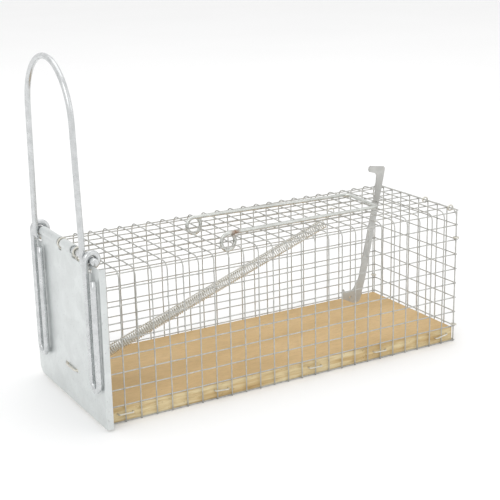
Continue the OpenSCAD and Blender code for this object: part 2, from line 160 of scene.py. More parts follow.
def rounded(points, r, steps=7):
    """A polyline with each inner corner rounded."""
    p = [np.asarray(q, float) for q in points]
    out = [p[0]]
    for i in range(1, len(p) - 1):
        u, w = p[i - 1] - p[i], p[i + 1] - p[i]
        lu, lw = np.linalg.norm(u), np.linalg.norm(w)
        u, w = u / lu, w / lw
        theta = math.acos(max(-1, min(1, float(u @ w))))
        rr = min(r, 0.49 * min(lu, lw) * math.tan(theta / 2))
        t = rr / math.tan(theta / 2)
        a, b = p[i] + u * t, p[i] + w * t
        mid = p[i] + (u + w) / np.linalg.norm(u + w) * rr / math.sin(theta / 2)
        for k in range(steps + 1):
            q = a + (b - a) * k / steps
            d = q - mid
            out.append(mid + d / np.linalg.norm(d) * rr)
    out.append(p[-1])
    return np.array(out)


def subdivide(points, step=12.0):
    """The same polyline with extra points, so that no step is much longer than asked."""
    out = [points[0]]
    for a, b in zip(points[:-1], points[1:]):
        n = max(1, int(np.linalg.norm(b - a) / step))
        for k in range(1, n + 1):
            out.append(a + (b - a) * k / n)
    return np.array(out)


# ---------------------------------------------------------------- materials

def shader(name):
    m = bpy.data.materials.new(name)
    m.use_nodes = True
    nt = m.node_tree
    return m, nt, nt.nodes["Principled BSDF"]


def node(nt, kind, **values):
    """A shader node; each value goes to the input of that name, or else to the property."""
    n = nt.nodes.new(kind)
    for k, v in values.items():
        if k in n.inputs:
            n.inputs[k].default_value = v
        else:
            setattr(n, k.lower(), v)
    return n


def ramp(nt, source, stops):
    r = nt.nodes.new("ShaderNodeValToRGB")
    r.color_ramp.elements[0].position, r.color_ramp.elements[0].color = stops[0][0], (*stops[0][1], 1)
    r.color_ramp.elements[1].position, r.color_ramp.elements[1].color = stops[-1][0], (*stops[-1][1], 1)
    for pos, col in stops[1:-1]:
        e = r.color_ramp.elements.new(pos)
        e.color = (*col, 1)
    nt.links.new(source, r.inputs["Fac"])
    return r.outputs["Color"]


def mix(nt, fac, a, b, how="MIX"):
    m = nt.nodes.new("ShaderNodeMix")
    m.data_type, m.blend_type = "RGBA", how
    for socket, value in ((m.inputs[0], fac), (m.inputs[6], a), (m.inputs[7], b)):
        if isinstance(value, bpy.types.NodeSocket):
            nt.links.new(value, socket)
        else:
            socket.default_value = value
    return m.outputs[2]


def place(nt, scale=(1, 1, 1)):
    c = nt.nodes.new("ShaderNodeTexCoord")
    m = nt.nodes.new("ShaderNodeMapping")
    m.inputs["Scale"].default_value = scale
    nt.links.new(c.outputs["Object"], m.inputs["Vector"])
    return m.outputs["Vector"]


def noise(nt, where, scale, detail=4.0, rough=0.6):
    n = node(nt, "ShaderNodeTexNoise", Scale=scale, Detail=detail, Roughness=rough)
    nt.links.new(where, n.inputs["Vector"])
    return n.outputs["Fac"]


def bump(nt, bsdf, height, strength, distance):
    b = node(nt, "ShaderNodeBump", Strength=strength, Distance=distance)
    nt.links.new(height, b.inputs["Height"])
    nt.links.new(b.outputs["Normal"], bsdf.inputs["Normal"])


def grey(v):
    return (v, v, v)


def zinc(name, light, dark, scale, rough=(0.28, 0.5), metallic=0.85, spangle=False, rust=()):
    """Galvanised metal: cloudy zinc, fine scratches, uneven gloss, and rust round given points."""
    m, nt, bsdf = shader(name)
    where = place(nt)
    cloud = noise(nt, where, scale, 5, 0.62)
    colour = ramp(nt, cloud, [(0.3, dark), (0.7, light)])
    if spangle:
        v = node(nt, "ShaderNodeTexVoronoi", Scale=scale * 1.6)
        nt.links.new(where, v.inputs["Vector"])
        cell = nt.nodes.new("ShaderNodeSeparateColor")
        nt.links.new(v.outputs["Color"], cell.inputs["Color"])
        shade = ramp(nt, cell.outputs["Red"], [(0.0, grey(0.9)), (1.0, grey(1.0))])
        colour = mix(nt, 0.55, colour, shade, "MULTIPLY")
    specks = ramp(nt, noise(nt, where, scale * 9, 3, 0.7), [(0.62, grey(0.0)), (0.74, grey(1.0))])
    colour = mix(nt, specks, colour, (*[c * 0.62 for c in dark], 1))
    for centre, reach, tint in rust:
        geo = nt.nodes.new("ShaderNodeTexCoord")
        near = nt.nodes.new("ShaderNodeVectorMath")
        near.operation = "DISTANCE"
        near.inputs[1].default_value = [c * MM for c in centre]
        nt.links.new(geo.outputs["Object"], near.inputs[0])
        wobble = node(nt, "ShaderNodeMath", operation="MULTIPLY")
        wobble.inputs[1].default_value = reach * MM * 1.2
        nt.links.new(noise(nt, where, 700, 4, 0.7), wobble.inputs[0])
        total = node(nt, "ShaderNodeMath", operation="ADD")
        nt.links.new(near.outputs["Value"], total.inputs[0])
        nt.links.new(wobble.outputs[0], total.inputs[1])
        fade = nt.nodes.new("ShaderNodeMapRange")
        fade.inputs["From Min"].default_value = reach * MM * 0.7
        fade.inputs["From Max"].default_value = reach * MM * 1.5
        fade.inputs["To Min"].default_value = 0.85
        fade.inputs["To Max"].default_value = 0.0
        nt.links.new(total.outputs[0], fade.inputs["Value"])
        colour = mix(nt, fade.outputs["Result"], colour, (*tint, 1))
    nt.links.new(colour, bsdf.inputs["Base Color"])
    gloss = nt.nodes.new("ShaderNodeMapRange")
    gloss.inputs["To Min"].default_value, gloss.inputs["To Max"].default_value = rough
    nt.links.new(noise(nt, where, scale * 2.3, 4, 0.6), gloss.inputs["Value"])
    nt.links.new(gloss.outputs["Result"], bsdf.inputs["Roughness"])
    bsdf.inputs["Metallic"].default_value = metallic
    bump(nt, bsdf, noise(nt, where, scale * 5, 4, 0.6), 0.18, 0.0002)
    return m


def wood_top():
    """The base's smooth face: warm board with short flecks along the grain."""
    m, nt, bsdf = shader("board_face")
    long_way = place(nt, (1.0, 7.0, 7.0))
    broad = noise(nt, place(nt, (0.8, 2.2, 1.0)), 14, 4, 0.55)
    tones = [(0.25, (0.56, 0.375, 0.165)), (0.55, (0.66, 0.455, 0.215)), (0.8, (0.72, 0.51, 0.26))]
    colour = ramp(nt, broad, tones)
    grain = ramp(nt, noise(nt, long_way, 95, 6, 0.72), [(0.3, grey(0.80)), (0.62, grey(1.0))])
    colour = mix(nt, 0.75, colour, grain, "MULTIPLY")
    fine_way = place(nt, (1.0, 11.0, 11.0))
    fleck = ramp(nt, noise(nt, fine_way, 210, 3, 0.6), [(0.63, grey(0.0)), (0.72, grey(1.0))])
    colour = mix(nt, fleck, colour, (0.40, 0.25, 0.12, 1))
    nt.links.new(colour, bsdf.inputs["Base Color"])
    bsdf.inputs["Roughness"].default_value = 0.62
    bump(nt, bsdf, noise(nt, long_way, 160, 5, 0.7), 0.22, 0.0003)
    return m


def wood_edge():
    """The base's sawn edge: pale pine with darker streaks and specks."""
    m, nt, bsdf = shader("board_edge")
    along = place(nt, (1.0, 6.0, 9.0))
    tones = [(0.3, (0.50, 0.36, 0.17)), (0.5, (0.70, 0.57, 0.33)), (0.72, (0.78, 0.68, 0.44))]
    colour = ramp(nt, noise(nt, along, 42, 6, 0.7), tones)
    layers = place(nt, (0.35, 1, 5.0))
    bands = ramp(nt, noise(nt, layers, 60, 3, 0.5), [(0.40, (0.78, 0.66, 0.50)), (0.56, grey(1.0))])
    colour = mix(nt, 0.8, colour, bands, "MULTIPLY")
    spots = ramp(nt, noise(nt, place(nt), 520, 4, 0.7), [(0.64, grey(0.0)), (0.73, grey(1.0))])
    colour = mix(nt, spots, colour, (0.20, 0.11, 0.05, 1))
    nt.links.new(colour, bsdf.inputs["Base Color"])
    bsdf.inputs["Roughness"].default_value = 0.78
    bump(nt, bsdf, noise(nt, along, 190, 6, 0.75), 0.5, 0.0004)
    return m


# ---------------------------------------------------------------- sizes from the CAD

def span(name):
    lo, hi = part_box(name)
    return np.array(lo) / MM, np.array(hi) / MM


record = frame["record"]
joints = {j["name"]: j for j in record["behaviour"]["joints"]}
base_lo, base_hi = span("wooden_base")
roof_lo, roof_hi = span("roof_mesh")
side_lo = span("near_side_mesh")[0]
rear_lo, rear_hi = span("rear_mesh")
rod_lo, rod_hi = span("hinge_rod")
door_lo, door_hi = span("door_plate")
handle_top = span("handle")[1][2]
hook_lo, hook_hi = span("bait_hook")
link_lo, link_hi = span("spring_link")

# Sizes below are in millimetres, as in the CAD. First the mesh: its wire's radius, its
# spacing, how far one layer of wires sits off the other, and its lowest lengthwise wire.
wire_r = 0.5
pitch = 12.7
weld = 0.9
bottom_row = 0.6
roof_z = roof_hi[2] - wire_r
front_x = roof_lo[0] + wire_r
rear_x = roof_hi[0] - wire_r
half_w = -side_lo[1] - wire_r
flat = roof_hi[1]
bend_r = half_w - flat
cells = round((rear_x - front_x) / pitch)
rod_x, rod_z = (rod_lo[0] + rod_hi[0]) / 2, (rod_lo[2] + rod_hi[2]) / 2
rod_r = (rod_hi[2] - rod_lo[2]) / 2

# Wire radii of the small pieces.
staple_r, clip_r, tie_r = 0.6, 0.65, 0.7
link_r, handle_r, trigger_r = 0.8, 2.2, 1.5
# The link's half width at its corners, its bend, and its legs' places in the door's slots.
link_half, link_bend, slot_reach = 12.8, 3.4, 9.82
# The spring's axis runs this far under its roof wire, with plain wire at each end of the coil.
anchor_drop, anchor_loop_r, low_loop_r = 6.0, 3.2, 4.1
low_straight, top_straight = 8.0, 9.0
# The trigger's two eyes, sideways.
near_eye, far_eye = -35.0, 21.8

galv_mesh = zinc("mesh_zinc", (0.60, 0.60, 0.57), (0.40, 0.40, 0.38), 260, (0.3, 0.55), 0.5,
                 rust=[((front_x + 3.5, -half_w, roof_z - 3), 3.2, (0.20, 0.05, 0.03))])
galv_sheet = zinc("door_zinc", (0.72, 0.75, 0.745), (0.64, 0.665, 0.66), 60, (0.3, 0.45), 0.65, spangle=True)
zinc_wire = zinc("wire_zinc", (0.70, 0.715, 0.72), (0.54, 0.555, 0.56), 170, (0.18, 0.34), 0.88)
clip_zinc = zinc("clip_zinc", (0.76, 0.74, 0.67), (0.55, 0.53, 0.46), 300, (0.25, 0.45), 0.6)
spring_zinc = zinc("spring_zinc", (0.80, 0.79, 0.74), (0.62, 0.61, 0.56), 240, (0.22, 0.38), 0.6)
eye = joints["trigger_lift"]["pos_m"]
trigger_zinc = zinc("trigger_zinc", (0.70, 0.715, 0.69), (0.53, 0.54, 0.51), 170, (0.18, 0.34), 0.85,
                    rust=[((eye[0] / MM + 6, near_eye, roof_z + 6.6), 6.0, (0.22, 0.10, 0.04)),
                          ((eye[0] / MM - 5, near_eye, roof_z + 3.5), 2.5, (0.20, 0.09, 0.04))])
hook_zinc = zinc("hook_zinc", (0.60, 0.60, 0.58), (0.48, 0.48, 0.46), 90, (0.3, 0.48), 0.8, spangle=True)
board_face, board_edge = wood_top(), wood_edge()


# ---------------------------------------------------------------- the wooden base

def make_base():
    lo, hi = base_lo, base_hi
    bm = bmesh.new()
    nx, ny = 60, 20
    xs, ys = np.linspace(lo[0], hi[0], nx + 1), np.linspace(lo[1], hi[1], ny + 1)
    zs = np.linspace(lo[2], hi[2], 5)
    grid = {}

    def vert(x, y, z):
        key = (round(x, 4), round(y, 4), round(z, 4))
        if key not in grid:
            grid[key] = bm.verts.new(Vector((x, y, z)) * MM)
        return grid[key]

    def sheet(us, vs, put, slot, flip):
        for i in range(len(us) - 1):
            for j in range(len(vs) - 1):
                u0, u1, v0, v1 = us[i], us[i + 1], vs[j], vs[j + 1]
                corners = [put(u0, v0), put(u1, v0), put(u1, v1), put(u0, v1)]
                f = bm.faces.new(corners[::-1] if flip else corners)
                f.material_index = slot

    sheet(xs, ys, lambda u, v: vert(u, v, hi[2]), 0, False)
    sheet(xs, ys, lambda u, v: vert(u, v, lo[2]), 0, True)
    sheet(xs, zs, lambda u, v: vert(u, lo[1], v), 1, False)
    sheet(xs, zs, lambda u, v: vert(u, hi[1], v), 1, True)
    sheet(ys, zs, lambda u, v: vert(lo[0], u, v), 1, True)
    sheet(ys, zs, lambda u, v: vert(hi[0], u, v), 1, False)
    bmesh.ops.recalc_face_normals(bm, faces=bm.faces)
    sharp = [e for e in bm.edges if len(e.link_faces) == 2 and e.calc_face_angle(0) > 0.8]
    bmesh.ops.bevel(bm, geom=sharp, offset=0.35 * MM, segments=2, affect="EDGES", profile=0.6)
    # The sawn sides are a little uneven, always inward.
    for v in bm.verts:
        if lo[2] * MM + 0.002 < v.co.z < hi[2] * MM - 0.002:
            wave = math.sin(v.co.x * 140) * 0.4 + math.sin(v.co.x * 317 + v.co.z * 500) * 0.6
            if abs(v.co.y) > (hi[1] - 0.5) * MM:
                v.co.y -= math.copysign(0.06 * MM * (1 + wave), v.co.y)
    mesh = bpy.data.meshes.new("base_board")
    bm.to_mesh(mesh)
    bm.free()
    mesh.materials.append(board_face)
    mesh.materials.append(board_edge)
    obj = bpy.data.objects.new("base_board", mesh)
    bpy.context.scene.collection.objects.link(obj)
    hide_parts("wooden_base")
    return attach(obj, "cage")


make_base()


# ---------------------------------------------------------------- the mesh cage

def wavy(points, amount=0.12):
    """A straight wire's points with the slight kinks of welded mesh."""
    p = subdivide(np.asarray(points, float), pitch / 2)
    if len(p) > 4:
        p[1:-1] += rng.normal(0, amount / 2.2, (len(p) - 2, 3))
    return p


def cross_stations():
    return [front_x + i * (rear_x - front_x) / cells for i in range(cells + 1)]


def roof_rows():
    out, i = [], 0
    while (i + 0.5) * pitch <= flat:
        out += [-(i + 0.5) * pitch, (i + 0.5) * pitch]
        i += 1
    return sorted(out)


def make_roof():
    b = Build()
    for x in cross_stations():
        b.tube(wavy([(x, -flat, roof_z), (x, flat, roof_z)]), wire_r, 8)
    for y in roof_rows():
        b.tube(wavy([(roof_lo[0], y, roof_z - weld), (roof_hi[0], y, roof_z - weld)]), wire_r, 8)
        for x in cross_stations():
            b.blob((x, y, roof_z - weld / 2), (0.72, 0.72, 0.62))
    obj = b.make("roof_wires", [galv_mesh])
    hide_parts("roof_mesh")
    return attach(obj, "cage")


def rows_up_to(top):
    """Heights of the lengthwise wires."""
    out, z = [], bottom_row
    while z <= top:
        out.append(z)
        z += pitch
    return out


def make_side(side, name, cad):
    b = Build()
    low = side_lo[2]
    rows = rows_up_to(roof_z - bend_r)
    for x in cross_stations():
        up = wavy([(x, side * half_w, low), (x, side * half_w, roof_z - bend_r)])
        turn = arc((x, flat, roof_z - bend_r), bend_r, 0, 90, "yz", 12)
        turn[:, 1] *= side
        b.tube(np.concatenate([up, turn[1:]]), wire_r, 8)
    inner = half_w - weld
    for z in rows:
        b.tube(wavy([(roof_lo[0], side * inner, z), (roof_hi[0], side * inner, z)]), wire_r, 8)
        for x in cross_stations():
            b.blob((x, side * (half_w - weld / 2), z), (0.72, 0.62, 0.72))
    c = (bend_r - weld) * math.cos(math.pi / 4)
    bend_y, bend_z = side * (flat + c), roof_z - bend_r + c
    b.tube(wavy([(roof_lo[0], bend_y, bend_z), (roof_hi[0], bend_y, bend_z)]), wire_r, 8)
    obj = b.make(name, [galv_mesh])
    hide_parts(cad)
    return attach(obj, "cage")


def make_rear():
    b = Build()
    post_x, row_x = rear_lo[0] + wire_r, rear_hi[0] - wire_r
    posts = []
    i = 0
    while (i + 0.5) * pitch <= half_w - weld:
        posts += [-(i + 0.5) * pitch, (i + 0.5) * pitch]
        i += 1
    rows = rows_up_to(roof_z)
    for y in posts:
        b.tube(wavy([(post_x, y, rear_lo[2]), (post_x, y, rear_hi[2])]), wire_r, 8)
    for z in rows:
        b.tube(wavy([(row_x, rear_lo[1], z), (row_x, rear_hi[1], z)]), wire_r, 8)
        for y in posts:
            b.blob(((post_x + row_x) / 2, y, z), (0.62, 0.72, 0.72))
    obj = b.make("rear_wires", [galv_mesh])
    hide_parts("rear_mesh")
    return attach(obj, "cage")


make_roof()
make_side(-1, "near_side_wires", "near_side_mesh")
make_side(1, "far_side_wires", "far_side_mesh")
make_rear()


# ---------------------------------------------------------------- staples, clips, rod and ties

def staple_places(cad):
    """The middle of each staple, from the CAD's own solids."""
    co = np.array([v.co for v in frame["nodes"][cad].data.vertices]) / MM
    xs = np.sort(co[:, 0])
    clear_of_next = 15
    groups, start = [], xs[0]
    for a, b in zip(xs[:-1], xs[1:]):
        if b - a > clear_of_next:
            groups.append((start + a) / 2)
            start = b
    groups.append((start + xs[-1]) / 2)
    return groups


def make_staples(side, name, cad):
    lo, hi = span(cad)
    z = (lo[2] + hi[2]) / 2
    crown = side * (max(abs(lo[1]), abs(hi[1])) - staple_r)
    half, leg, bend = 5.95, 8.6, 1.3
    b = Build()
    for x in staple_places(cad):
        lean = rng.normal(0, 0.35)
        depth = crown - side * leg
        left, right = x - half, x + half
        low, high = z - lean, z + lean
        corners = [(left, depth, low), (left, crown, low), (right, crown, high), (right, depth, high)]
        b.tube(rounded(corners, bend), staple_r, 10)
    obj = b.make(name, [clip_zinc])
    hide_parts(cad)
    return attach(obj, "cage")


make_staples(-1, "staples_near", "near_staples")
make_staples(1, "staples_far", "far_staples")


def solid_centres(cad):
    """The middle and half size of each separate solid in a CAD node."""
    me = frame["nodes"][cad].data
    bm = bmesh.new()
    bm.from_mesh(me)
    bmesh.ops.remove_doubles(bm, verts=bm.verts, dist=1e-6)
    seen, out = set(), []
    for v in bm.verts:
        if v in seen:
            continue
        stack, group = [v], []
        seen.add(v)
        while stack:
            w = stack.pop()
            group.append(w.co.copy())
            for e in w.link_edges:
                o = e.other_vert(w)
                if o not in seen:
                    seen.add(o)
                    stack.append(o)
        g = np.array(group) / MM
        out.append(((g.min(0) + g.max(0)) / 2, (g.max(0) - g.min(0)) / 2))
    bm.free()
    return sorted(out, key=lambda s: tuple(np.round(s[0], 2)))


def make_clips(name, cad, plane):
    b = Build()
    for centre, half in solid_centres(cad):
        turns = arc(centre, max(half) - clip_r, -50, 305, plane, 9)
        # Each ring is a little skewed, so its two ends pass beside each other.
        off_plane = {"xz": 1, "xy": 2}[plane]
        turns[:, off_plane] += np.linspace(-0.3, 0.5, len(turns))
        b.tube(turns, clip_r, 10)
    obj = b.make(name, [clip_zinc])
    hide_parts(cad)
    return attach(obj, "cage")


make_clips("roof_rings", "roof_clips", "xz")
make_clips("corner_rings", "corner_clips", "xy")


def make_rod():
    b = Build()
    r, chamfer = rod_r, 0.5
    lo, hi = rod_lo[1], rod_hi[1]
    ys = [lo, lo + chamfer, *np.linspace(lo + 6, hi - 6, 14), hi - chamfer, hi]
    rs = [r - chamfer, *[r] * 16, r - chamfer]
    b.tube([(rod_x, y, rod_z) for y in ys], np.array(rs), 28)
    obj = b.make("hinge_bar", [zinc_wire])
    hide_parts("hinge_rod")
    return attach(obj, "cage")


def tie_places():
    """Sideways places of the rod's ties."""
    return sorted(centre[1] for centre, _ in solid_centres("rod_ties"))


def make_ties():
    b = Build()
    gap = 0.03
    big, small = rod_r + tie_r + gap, wire_r + tie_r + gap
    dx, dz = front_x - rod_x, roof_z - rod_z
    run, lean = math.hypot(dx, dz), math.degrees(math.atan2(dz, dx))
    spread = math.degrees(math.acos((big - small) / run))
    for y in tie_places():
        one = arc((rod_x, y, rod_z), big, lean + spread, lean + 360 - spread, "xz", 8)
        two = arc((front_x, y, roof_z), small, lean - spread, lean + spread, "xz", 12)
        loop = np.concatenate([one, two, one[:1]])
        b.tube(loop, tie_r, 10, closed=True)
    obj = b.make("rod_loops", [clip_zinc])
    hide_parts("rod_ties")
    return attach(obj, "cage")


make_rod()
make_ties()


# ---------------------------------------------------------------- the door

def grid_piece(b, us, vs, keep, put, thick, slot=0):
    """A sheet over a grid, with some cells left out, given its thickness."""
    index = {}
    front, back, faces = [], [], []

    def at(i, j):
        if (i, j) not in index:
            index[(i, j)] = len(front)
            p, n = put(us[i], vs[j])
            front.append(p)
            back.append(p + n * thick)
        return index[(i, j)]

    cells = {(i, j) for i in range(len(us) - 1) for j in range(len(vs) - 1)
             if keep((us[i] + us[i + 1]) / 2, (vs[j] + vs[j + 1]) / 2)}
    quads = [(at(i, j), at(i + 1, j), at(i + 1, j + 1), at(i, j + 1)) for i, j in sorted(cells)]
    n = len(front)
    edges = {}
    for q in quads:
        faces.append(q)
        faces.append(tuple(v + n for v in q[::-1]))
        for a, c in zip(q, q[1:] + q[:1]):
            edges[(a, c)] = edges.get((a, c), 0) + 1
    for a, c in edges:
        if (c, a) not in edges:
            faces.append((c, a, a + n, c + n))
    b.add(np.array(front + back), faces, slot)


def make_door():
    b = Build()
    t, fold, bend = 0.8, 4.8, 1.1
    front = rod_x - 2.4
    skin = front + 0.2
    half = door_hi[1]
    low = door_lo[2]
    knuckle_out = rod_r + 0.1 + t
    # The sheet is notched for the handle's coils and cut low between its knuckles.
    coil_in, coil_out = 43.8, 54.2
    notch = rod_z - 8.5
    corner = rod_z - 2.4
    knuckle_start = rod_z - 2.2
    bare_top = rod_z - knuckle_out - 1.7
    tie_y, tie_room = tie_places()[1], 2.7
    k_lo, k_hi = -0.155 * 2 * half_w, tie_y - tie_room
    k2 = tie_y + tie_room
    link_y = (link_lo[1] + link_hi[1]) / 2
    slot_ys = (link_y - slot_reach, link_y + slot_reach)
    slot_z = link_lo[2] + link_r
    slot_half, slot_rise = 2.4, 1.3

    # Along the section: from one folded edge round to the other.
    length_fold = fold - bend
    feature = {-coil_out, -coil_in, k_lo, k_hi, k2, coil_in, coil_out, 0.0}
    for y in slot_ys:
        feature |= {y - slot_half, y + slot_half}
    ys = sorted(feature | set(np.linspace(-half + bend, half - bend, 46)))
    ys = [y for i, y in enumerate(ys) if i == 0 or y - ys[i - 1] > 0.25 or y in feature]
    us = [(-9000 + k, ("fold", -1, length_fold * (1 - k / 2))) for k in range(2)]
    us += [(-8000 + k, ("bend", -1, k / 4)) for k in range(4)]
    us += [(y, ("flat", 0, y)) for y in ys]
    us += [(8000 + k, ("bend", 1, (k + 1) / 4)) for k in range(4)]
    us += [(9000 + k, ("fold", 1, length_fold * (k + 1) / 2)) for k in range(2)]
    lookup = {round(u, 5): what for u, what in us}
    us = [u for u, _ in us]
    zs = sorted({low, slot_z - slot_rise, slot_z + slot_rise, notch, bare_top, corner, knuckle_start}
                | set(np.linspace(low, notch, 26)))
    zs = [z for i, z in enumerate(zs) if i == 0 or z - zs[i - 1] > 0.02]

    def dent(y, z):
        """Shallow waves over the sheet, and one dent near its near bottom corner."""
        d = 0.16 * math.sin(y * 0.043 + 0.6) * math.sin(z * 0.037 + 0.4)
        d += 0.05 * math.sin(y * 0.13 + z * 0.05)
        d += 0.35 * math.exp(-((y + 39) ** 2 + (z - 4) ** 2) / 14)
        return d

    def put(u, z):
        kind, side, k = lookup[round(u, 5)]
        if kind == "flat":
            return np.array([skin + dent(k, z) * 0.8, k, z]), np.array([1.0, 0, 0])
        if kind == "bend":
            a = (k if side > 0 else 1 - k) * math.pi / 2
            out = np.array([-math.cos(a), side * math.sin(a), 0])
            mid = np.array([skin + bend, side * (half - bend), z])
            return mid + out * bend, -out
        return np.array([skin + bend + k, side * half, z]), np.array([0, -side, 0])

    def keep(u, z):
        y = math.copysign(half, u) if abs(u) > 1000 else u
        if z > corner:
            return (k_lo < y < k_hi or k2 < y < coil_in) and z < knuckle_start
        if z > bare_top:
            return k_lo < y < k_hi or k2 < y < coil_in or abs(y) > coil_out
        if z > notch:
            return abs(y) < coil_in or abs(y) > coil_out
        for s in slot_ys:
            if abs(y - s) < slot_half and abs(z - slot_z) < slot_rise:
                return False
        return True

    grid_piece(b, us, zs, keep, put, t)
    # The two knuckles, rolled over the rod.
    for y0, y1 in ((k_lo, k_hi), (k2, coil_in)):
        angles = np.linspace(202, -118, 34)
        cols = np.linspace(y0, y1, 12)

        def roll(a, y):
            spoke = np.array([math.cos(math.radians(a)), 0, math.sin(math.radians(a))])
            r = knuckle_out + 0.05 * math.sin(y * 0.2)
            return np.array([rod_x, y, rod_z]) + spoke * r, -spoke

        grid_piece(b, angles, cols, lambda a, y: True, roll, t)
    obj = b.make("door_sheet", [galv_sheet])
    bm = bmesh.new()
    bm.from_mesh(obj.data)
    # The far bottom corner is cut off at a slant.
    cut = 6.0
    everything = bm.verts[:] + bm.edges[:] + bm.faces[:]
    slant = Vector((0, 1, -1)).normalized()
    bmesh.ops.bisect_plane(bm, geom=everything, dist=1e-7, plane_co=Vector((0, half - cut, low)) * MM,
                           plane_no=slant, clear_outer=True)
    bmesh.ops.holes_fill(bm, edges=[e for e in bm.edges if e.is_boundary], sides=0)
    bmesh.ops.recalc_face_normals(bm, faces=bm.faces)
    for e in bm.edges:
        if len(e.link_faces) == 2 and e.calc_face_angle(0) > 0.9:
            e.smooth = False
    bm.to_mesh(obj.data)
    bm.free()
    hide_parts("door_plate")
    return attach(obj, "door")


def make_handle():
    b = Build()
    r, coil_gap, inset = handle_r, 0.3, 11.4
    coil_r = rod_r + coil_gap + r
    x = rod_x - coil_r
    leg_y = half_w - inset
    arch_r = 43.0
    arch_z = handle_top - r - arch_r
    shoulder = rod_z + 12
    reach = math.hypot(leg_y, arch_z - shoulder)
    meet = 180 + math.degrees(math.atan2(arch_z - shoulder, leg_y)) - math.degrees(math.acos(arch_r / reach))
    near_out, far_out = -(leg_y + 2 * r + 0.2), leg_y + 2 * r + 1.8
    floors = {-1: 27.6, 1: 23.0}

    def half_turn(a, c, under):
        a, c = np.array(a, float), np.array(c, float)
        mid, spoke = (a + c) / 2, (a - c) / 2
        rise = np.linalg.norm(spoke) * (-1 if under else 1)
        turns = [math.pi * k / 12 for k in range(1, 13)]
        return [mid + spoke * math.cos(w) + np.array([0, 0, rise * math.sin(w)]) for w in turns]

    def side_path(side, out_y):
        back_y = side * (leg_y + abs(out_y)) / 2
        ret = out_y - pitch
        turn_r = pitch / 2
        turn_z = floors[side] + r + turn_r
        pts = [np.array([x, side * leg_y, rod_z])]
        pts += half_turn((x, side * leg_y, rod_z), (rod_x + coil_r, back_y, rod_z), True)
        pts += half_turn((rod_x + coil_r, back_y, rod_z), (x, out_y, rod_z), False)
        pts += [np.array([x, out_y, z]) for z in np.linspace(rod_z - 4, turn_z + 2, 10)]
        pts += list(arc((x, out_y - turn_r, turn_z), turn_r, 0, -180, "yz", 9))
        pts += [np.array([x, ret, z]) for z in np.linspace(turn_z + 2, rod_z - coil_r - r - 3.2, 10)]
        return pts

    near = side_path(-1, near_out)
    far = side_path(1, far_out)
    top = arc((x, 0, arch_z), arch_r, meet, 180 - meet, "yz", 5)
    # The arch leans a little to the far side, most at its top.
    lean = 2.2 * np.exp(-((top[:, 2] - handle_top) / 40) ** 2)
    top[:, 1] += lean
    near_leg = rounded([near[0], (x, -leg_y, shoulder), top[0]], 40)
    far_leg = rounded([top[-1], (x, leg_y, shoulder), far[0]], 40)
    near_leg, far_leg = subdivide(near_leg, 10)[1:], subdivide(far_leg, 10)[1:]
    path = np.concatenate([np.array(near[::-1]), near_leg, top[1:], far_leg, np.array(far[1:])])
    b.tube(path, r, 18)
    obj = b.make("bail_handle", [zinc_wire])
    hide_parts("handle")
    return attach(obj, "door")


def make_link():
    b = Build()
    r = link_r
    x0, x1 = link_lo[0] + r, link_hi[0] - r
    y0, y1 = link_lo[1] + r, link_hi[1] - r
    z0, z1 = link_lo[2] + r, link_hi[2] - r
    mid_y, half, bend = (y0 + y1) / 2, link_half, link_bend
    reach = x1 - bend - x0
    lean = math.atan2(half, reach) - math.asin(bend / math.hypot(half, reach))
    tip = (x0 + half / math.tan(lean), mid_y, z1)
    near, far = (x0, mid_y - half, z0), (x0, mid_y + half, z0)
    loop = rounded([(x0, mid_y, z0), near, tip, far, (x0, mid_y, z0)], bend)
    b.tube(loop, r, 12, closed=True)
    obj = b.make("link_wire", [clip_zinc])
    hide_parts("spring_link")
    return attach(obj, "door")


make_door()
make_handle()
make_link()


# ---------------------------------------------------------------- the spring

def make_spring():
    anchor = np.array(joints["spring_swing"]["pos_m"]) / MM
    out = np.array(joints["spring_stretch"]["axis"], float)
    out /= np.linalg.norm(out)
    up_way = -out
    across = np.cross([0, 1.0, 0], up_way)
    if across[2] < 0:
        across = -across
    drop = anchor_drop
    top = anchor - across * drop
    eye_point = np.array([link_hi[0] - 2 * link_r, anchor[1], link_hi[2] - link_r])
    run = (top - eye_point) @ up_way
    start = top - up_way * run

    def at(s, side=0.0, lift=0.0):
        """A point s along the spring's axis, moved sideways and across it."""
        return start + up_way * s + np.array([0, 1.0, 0]) * side + across * lift

    wire, radius = 0.5, 3.75
    s0, s1 = low_straight, run - top_straight
    coil_start, coil_run = s0 + 0.6, s1 - s0 - 1.2
    turn_spacing, turn_steps = 1.9, 14
    n = int(coil_run / turn_spacing) * turn_steps
    pts = []
    for k in range(n + 1):
        a = 2 * math.pi * k / turn_steps
        pts.append(at(coil_start + coil_run * k / n, radius * math.cos(a), radius * math.sin(a)))
    b = Build()
    b.tube(pts, wire, 7)
    coil = b.make("spring_coil", [spring_zinc])
    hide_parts("spring_upper_half", "spring_lower_half")
    tuple(at(s1) * MM)
    tuple(at(s0) * MM)
    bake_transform(coil)

    b = Build()
    r = anchor_loop_r
    path = [at(s1 - 0.8, 0, radius - 0.2), at(s1 + 1.0, 0, 3.0), at(run, 0, drop - r)]
    sweep = np.radians(np.linspace(-80, 225, 26))
    loop = [at(run + r * math.cos(a), 0, drop + r * math.sin(a)) for a in sweep]
    b.tube(np.concatenate([rounded(path, 2.5), loop]), wire, 10)
    hook = b.make("spring_top_hook", [spring_zinc])
    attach(hook, "spring_upper")

    b = Build()
    r, leave = low_loop_r, math.radians(60)
    c, s = math.cos(leave), math.sin(leave)
    loop = [at(r * math.cos(a), 0, r * math.sin(a)) for a in np.radians(np.linspace(180, 60, 16))]
    shank = [at(r * c + k * s, 0, r * s - k * c) for k in (2.0, 4.0, 6.2)]
    b.tube(np.array(loop + shank + [at(s0 + 0.9, 0, radius - 1.4)]), wire, 10)
    hook = b.make("spring_low_hook", [spring_zinc])
    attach(hook, "spring_lower")


make_spring()


